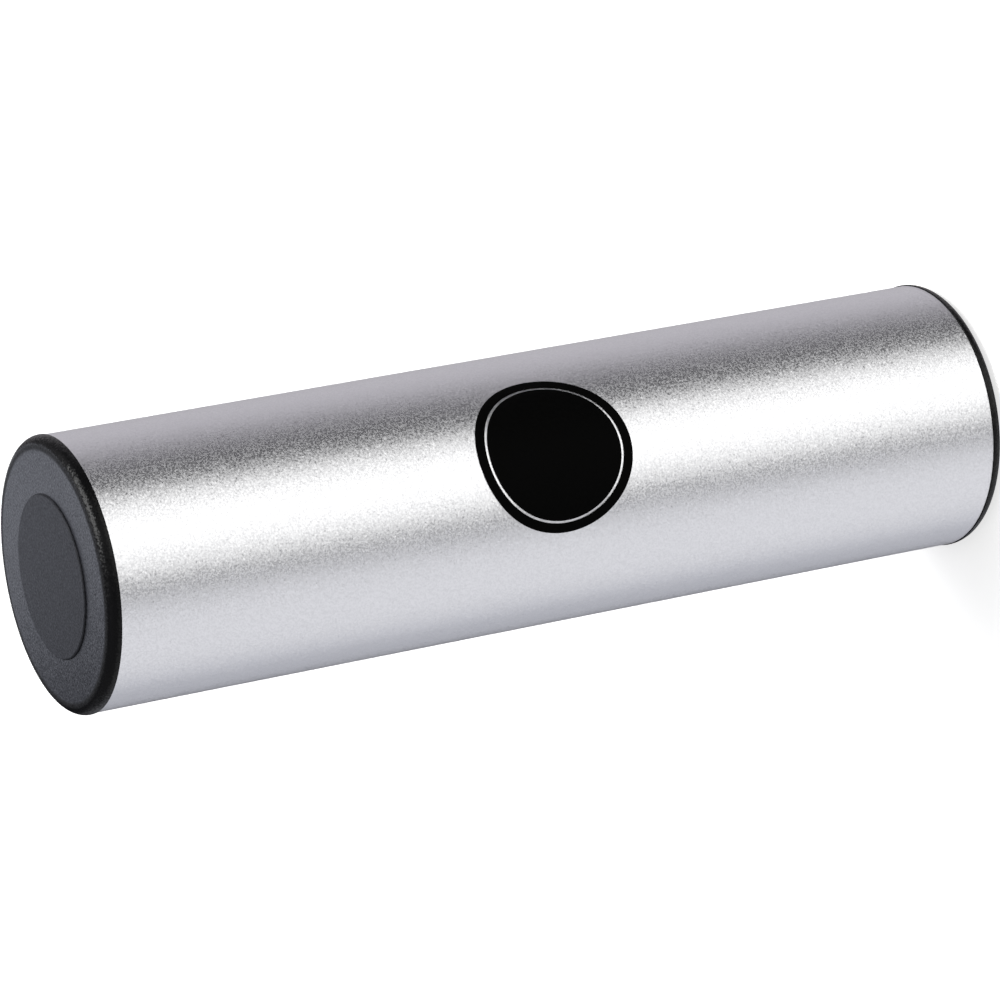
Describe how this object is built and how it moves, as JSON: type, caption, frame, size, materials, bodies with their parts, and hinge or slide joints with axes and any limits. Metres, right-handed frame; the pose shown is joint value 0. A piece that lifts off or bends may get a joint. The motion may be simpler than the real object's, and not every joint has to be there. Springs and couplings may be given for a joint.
{
  "type": "tube shaker",
  "caption": "Hand-held tube shaker: a blasted aluminium tube closed by black moulded end caps, with loose steel shot inside that slides along the tube and strikes the caps.",
  "frame": {"origin": "centre of the bottom cap's round pad, on which the shaker stands", "axes": "+Z along the tube, from the bottom cap to the top cap; the badge faces -Y"},
  "size_m": [0.0628, 0.0628, 0.229],
  "materials": {
    "tube_metal": "satin",
    "cap_plastic": "matte",
    "badge_print": "matte",
    "shot_steel": "satin"
  },
  "bodies": {
    "shell": {"tube": "tube_metal", "bottom_cap": "cap_plastic", "top_cap": "cap_plastic", "badge": "badge_print"},
    "shot_centre": {"shot_centre": "shot_steel"},
    "shot_inner_1": {"shot_inner_1": "shot_steel"},
    "shot_inner_2": {"shot_inner_2": "shot_steel"},
    "shot_inner_3": {"shot_inner_3": "shot_steel"},
    "shot_inner_4": {"shot_inner_4": "shot_steel"},
    "shot_inner_5": {"shot_inner_5": "shot_steel"},
    "shot_inner_6": {"shot_inner_6": "shot_steel"},
    "shot_middle_1": {"shot_middle_1": "shot_steel"},
    "shot_middle_2": {"shot_middle_2": "shot_steel"},
    "shot_middle_3": {"shot_middle_3": "shot_steel"},
    "shot_middle_4": {"shot_middle_4": "shot_steel"},
    "shot_middle_5": {"shot_middle_5": "shot_steel"},
    "shot_middle_6": {"shot_middle_6": "shot_steel"},
    "shot_outer_1": {"shot_outer_1": "shot_steel"},
    "shot_outer_2": {"shot_outer_2": "shot_steel"},
    "shot_outer_3": {"shot_outer_3": "shot_steel"},
    "shot_outer_4": {"shot_outer_4": "shot_steel"},
    "shot_outer_5": {"shot_outer_5": "shot_steel"},
    "shot_outer_6": {"shot_outer_6": "shot_steel"}
  },
  "joints": [
    {"name": "shot_centre_slide", "type": "slide", "parent": "shell", "child": "shot_centre", "axis": [0, 0, 1], "range_m": [0, 0.2177]},
    {"name": "shot_inner_1_slide", "type": "slide", "parent": "shell", "child": "shot_inner_1", "axis": [0, 0, 1], "range_m": [0, 0.2177]},
    {"name": "shot_inner_2_slide", "type": "slide", "parent": "shell", "child": "shot_inner_2", "axis": [0, 0, 1], "range_m": [0, 0.2177]},
    {"name": "shot_inner_3_slide", "type": "slide", "parent": "shell", "child": "shot_inner_3", "axis": [0, 0, 1], "range_m": [0, 0.2177]},
    {"name": "shot_inner_4_slide", "type": "slide", "parent": "shell", "child": "shot_inner_4", "axis": [0, 0, 1], "range_m": [0, 0.2177]},
    {"name": "shot_inner_5_slide", "type": "slide", "parent": "shell", "child": "shot_inner_5", "axis": [0, 0, 1], "range_m": [0, 0.2177]},
    {"name": "shot_inner_6_slide", "type": "slide", "parent": "shell", "child": "shot_inner_6", "axis": [0, 0, 1], "range_m": [0, 0.2177]},
    {"name": "shot_middle_1_slide", "type": "slide", "parent": "shell", "child": "shot_middle_1", "axis": [0, 0, 1], "range_m": [0, 0.2177]},
    {"name": "shot_middle_2_slide", "type": "slide", "parent": "shell", "child": "shot_middle_2", "axis": [0, 0, 1], "range_m": [0, 0.2177]},
    {"name": "shot_middle_3_slide", "type": "slide", "parent": "shell", "child": "shot_middle_3", "axis": [0, 0, 1], "range_m": [0, 0.2177]},
    {"name": "shot_middle_4_slide", "type": "slide", "parent": "shell", "child": "shot_middle_4", "axis": [0, 0, 1], "range_m": [0, 0.2177]},
    {"name": "shot_middle_5_slide", "type": "slide", "parent": "shell", "child": "shot_middle_5", "axis": [0, 0, 1], "range_m": [0, 0.2177]},
    {"name": "shot_middle_6_slide", "type": "slide", "parent": "shell", "child": "shot_middle_6", "axis": [0, 0, 1], "range_m": [0, 0.2177]},
    {"name": "shot_outer_1_slide", "type": "slide", "parent": "shell", "child": "shot_outer_1", "axis": [0, 0, 1], "range_m": [0, 0.2177]},
    {"name": "shot_outer_2_slide", "type": "slide", "parent": "shell", "child": "shot_outer_2", "axis": [0, 0, 1], "range_m": [0, 0.2177]},
    {"name": "shot_outer_3_slide", "type": "slide", "parent": "shell", "child": "shot_outer_3", "axis": [0, 0, 1], "range_m": [0, 0.2177]},
    {"name": "shot_outer_4_slide", "type": "slide", "parent": "shell", "child": "shot_outer_4", "axis": [0, 0, 1], "range_m": [0, 0.2177]},
    {"name": "shot_outer_5_slide", "type": "slide", "parent": "shell", "child": "shot_outer_5", "axis": [0, 0, 1], "range_m": [0, 0.2177]},
    {"name": "shot_outer_6_slide", "type": "slide", "parent": "shell", "child": "shot_outer_6", "axis": [0, 0, 1], "range_m": [0, 0.2177]}
  ]
}
